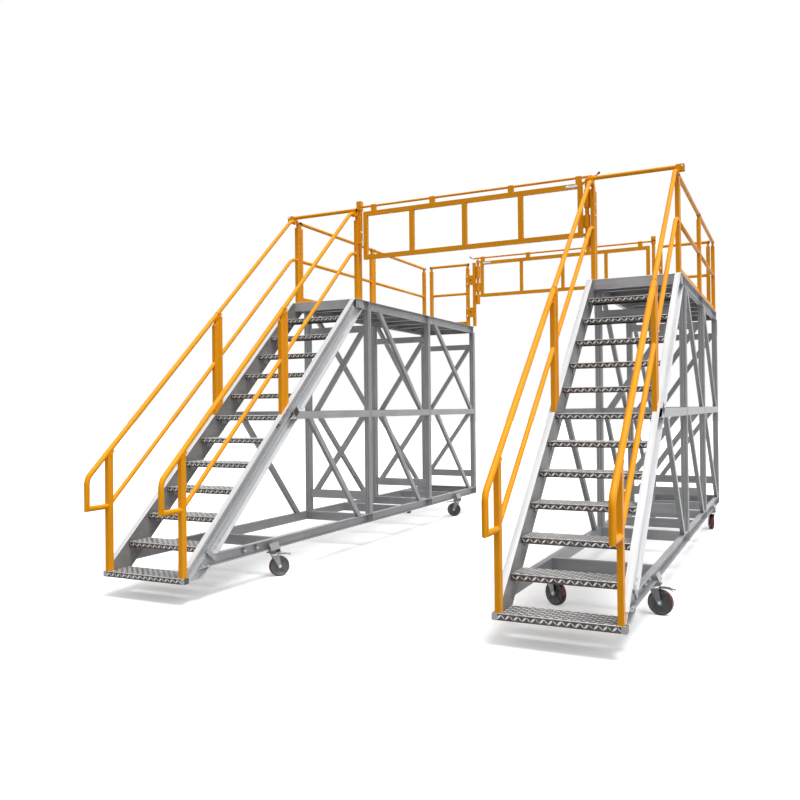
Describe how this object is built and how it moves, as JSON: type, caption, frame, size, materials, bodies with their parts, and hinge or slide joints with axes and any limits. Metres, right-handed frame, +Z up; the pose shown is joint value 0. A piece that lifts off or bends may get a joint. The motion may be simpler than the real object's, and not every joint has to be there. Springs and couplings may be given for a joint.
{
  "type": "bus access platform",
  "caption": "Bus access platform: two wheeled aluminium stair towers with guarded decks either side of a vehicle bay, joined by swing gates.",
  "frame": {"origin": "on the floor at the middle of the whole set's box, midway between the two towers", "axes": "+X across the bay to the right-hand tower, +Y from the feet of the stairs to the rear, +Z up"},
  "size_m": [4.79, 7.132, 4.0942],
  "materials": {
    "mill": "satin mill",
    "tread_plate": "raised lens pattern",
    "yellow": "gloss powder coat",
    "zinc": "zinc plated",
    "wheel": "polyurethane tread"
  },
  "bodies": {
    "towers": {"left_base_rails": "mill", "left_base_crossmembers": "mill", "left_caster_mounts": "zinc", "left_columns": "mill", "left_mid_rails": "mill", "left_cross_rails": "mill", "left_braces": "mill", "left_deck_frame": "mill", "left_deck_plate": "tread_plate", "left_stringers": "mill", "left_treads": "tread_plate", "left_stair_posts": "yellow", "left_stair_top_rails": "yellow", "left_stair_mid_rails": "yellow", "left_guard_posts": "yellow", "left_guard_rails": "yellow", "left_toe_boards": "yellow", "left_gate_posts": "yellow", "left_bar_brackets": "zinc", "right_base_rails": "mill", "right_base_crossmembers": "mill", "right_caster_mounts": "zinc", "right_columns": "mill", "right_mid_rails": "mill", "right_cross_rails": "mill", "right_braces": "mill", "right_deck_frame": "mill", "right_deck_plate": "tread_plate", "right_stringers": "mill", "right_treads": "tread_plate", "right_stair_posts": "yellow", "right_stair_top_rails": "yellow", "right_stair_mid_rails": "yellow", "right_guard_posts": "yellow", "right_guard_rails": "yellow", "right_toe_boards": "yellow", "right_gate_posts": "yellow", "right_bar_brackets": "zinc"},
    "front_gate": {"front_gate": "yellow", "front_latch_rod": "yellow"},
    "rear_gate": {"rear_gate": "yellow", "rear_latch_rod": "yellow"},
    "left_head_bar": {"left_head_bar": "yellow"},
    "right_head_bar": {"right_head_bar": "yellow"},
    "right_inner_front_caster_fork": {"right_inner_front_caster_fork": "zinc"},
    "right_inner_front_caster_wheel": {"right_inner_front_caster_wheel": "wheel"},
    "right_outer_front_caster_fork": {"right_outer_front_caster_fork": "zinc"},
    "right_outer_front_caster_wheel": {"right_outer_front_caster_wheel": "wheel"},
    "right_inner_rear_caster_fork": {"right_inner_rear_caster_fork": "zinc"},
    "right_inner_rear_caster_wheel": {"right_inner_rear_caster_wheel": "wheel"},
    "right_outer_rear_caster_fork": {"right_outer_rear_caster_fork": "zinc"},
    "right_outer_rear_caster_wheel": {"right_outer_rear_caster_wheel": "wheel"},
    "left_inner_front_caster_fork": {"left_inner_front_caster_fork": "zinc"},
    "left_inner_front_caster_wheel": {"left_inner_front_caster_wheel": "wheel"},
    "left_outer_front_caster_fork": {"left_outer_front_caster_fork": "zinc"},
    "left_outer_front_caster_wheel": {"left_outer_front_caster_wheel": "wheel"},
    "left_inner_rear_caster_fork": {"left_inner_rear_caster_fork": "zinc"},
    "left_inner_rear_caster_wheel": {"left_inner_rear_caster_wheel": "wheel"},
    "left_outer_rear_caster_fork": {"left_outer_rear_caster_fork": "zinc"},
    "left_outer_rear_caster_wheel": {"left_outer_rear_caster_wheel": "wheel"}
  },
  "joints": [
    {"name": "front_gate_hinge", "type": "hinge", "parent": "towers", "child": "front_gate", "pos_m": [1.333, -0.219, 3.66], "axis": [0, 0, -1], "range_deg": [0, 90]},
    {"name": "rear_gate_hinge", "type": "hinge", "parent": "towers", "child": "rear_gate", "pos_m": [-1.275, 3.518, 3.66], "axis": [0, 0, -1], "range_deg": [0, 90]},
    {"name": "left_head_bar_pivot", "type": "hinge", "parent": "towers", "child": "left_head_bar", "pos_m": [-2.283, -0.286, 3.98], "axis": [0, -1, 0], "range_deg": [0, 90]},
    {"name": "right_head_bar_pivot", "type": "hinge", "parent": "towers", "child": "right_head_bar", "pos_m": [2.283, -0.286, 3.98], "axis": [0, 1, 0], "range_deg": [0, 90]},
    {"name": "right_inner_front_caster_swivel", "type": "hinge", "parent": "towers", "child": "right_inner_front_caster_fork", "pos_m": [1.395, -1.962, 0.22], "axis": [0, 0, 1], "continuous": true},
    {"name": "right_inner_front_caster_spin", "type": "hinge", "parent": "right_inner_front_caster_fork", "child": "right_inner_front_caster_wheel", "pos_m": [1.43915, -1.98547, 0.1], "axis": [0.4695, 0.8829, 0], "continuous": true},
    {"name": "right_outer_front_caster_swivel", "type": "hinge", "parent": "towers", "child": "right_outer_front_caster_fork", "pos_m": [2.225, -1.962, 0.22], "axis": [0, 0, 1], "continuous": true},
    {"name": "right_outer_front_caster_spin", "type": "hinge", "parent": "right_outer_front_caster_fork", "child": "right_outer_front_caster_wheel", "pos_m": [2.27391, -1.9724, 0.1], "axis": [0.2079, 0.9781, 0], "continuous": true},
    {"name": "right_inner_rear_caster_swivel", "type": "hinge", "parent": "towers", "child": "right_inner_rear_caster_fork", "pos_m": [1.395, 2.834, 0.22], "axis": [0, 0, 1], "continuous": true},
    {"name": "right_inner_rear_caster_spin", "type": "hinge", "parent": "right_inner_rear_caster_fork", "child": "right_inner_rear_caster_wheel", "pos_m": [1.42, 2.8773, 0.1], "axis": [-0.866, 0.5, 0], "continuous": true},
    {"name": "right_outer_rear_caster_swivel", "type": "hinge", "parent": "towers", "child": "right_outer_rear_caster_fork", "pos_m": [2.225, 2.834, 0.22], "axis": [0, 0, 1], "continuous": true},
    {"name": "right_outer_rear_caster_spin", "type": "hinge", "parent": "right_outer_rear_caster_fork", "child": "right_outer_rear_caster_wheel", "pos_m": [2.21206, 2.8823, 0.1], "axis": [-0.9659, -0.2588, 0], "continuous": true},
    {"name": "left_inner_front_caster_swivel", "type": "hinge", "parent": "towers", "child": "left_inner_front_caster_fork", "pos_m": [-1.395, -1.962, 0.22], "axis": [0, 0, 1], "continuous": true},
    {"name": "left_inner_front_caster_spin", "type": "hinge", "parent": "left_inner_front_caster_fork", "child": "left_inner_front_caster_wheel", "pos_m": [-1.36286, -1.9237, 0.1], "axis": [-0.766, 0.6428, 0], "continuous": true},
    {"name": "left_outer_front_caster_swivel", "type": "hinge", "parent": "towers", "child": "left_outer_front_caster_fork", "pos_m": [-2.225, -1.962, 0.22], "axis": [0, 0, 1], "continuous": true},
    {"name": "left_outer_front_caster_spin", "type": "hinge", "parent": "left_outer_front_caster_fork", "child": "left_outer_front_caster_wheel", "pos_m": [-2.275, -1.962, 0.1], "axis": [0, -1, 0], "continuous": true},
    {"name": "left_inner_rear_caster_swivel", "type": "hinge", "parent": "towers", "child": "left_inner_rear_caster_fork", "pos_m": [-1.395, 2.834, 0.22], "axis": [0, 0, 1], "continuous": true},
    {"name": "left_inner_rear_caster_spin", "type": "hinge", "parent": "left_inner_rear_caster_fork", "child": "left_inner_rear_caster_wheel", "pos_m": [-1.44424, 2.82532, 0.1], "axis": [0.1736, -0.9848, 0], "continuous": true},
    {"name": "left_outer_rear_caster_swivel", "type": "hinge", "parent": "towers", "child": "left_outer_rear_caster_fork", "pos_m": [-2.225, 2.834, 0.22], "axis": [0, 0, 1], "continuous": true},
    {"name": "left_outer_rear_caster_spin", "type": "hinge", "parent": "left_outer_rear_caster_fork", "child": "left_outer_rear_caster_wheel", "pos_m": [-2.23368, 2.88324, 0.1], "axis": [-0.9848, -0.1736, 0], "continuous": true}
  ]
}
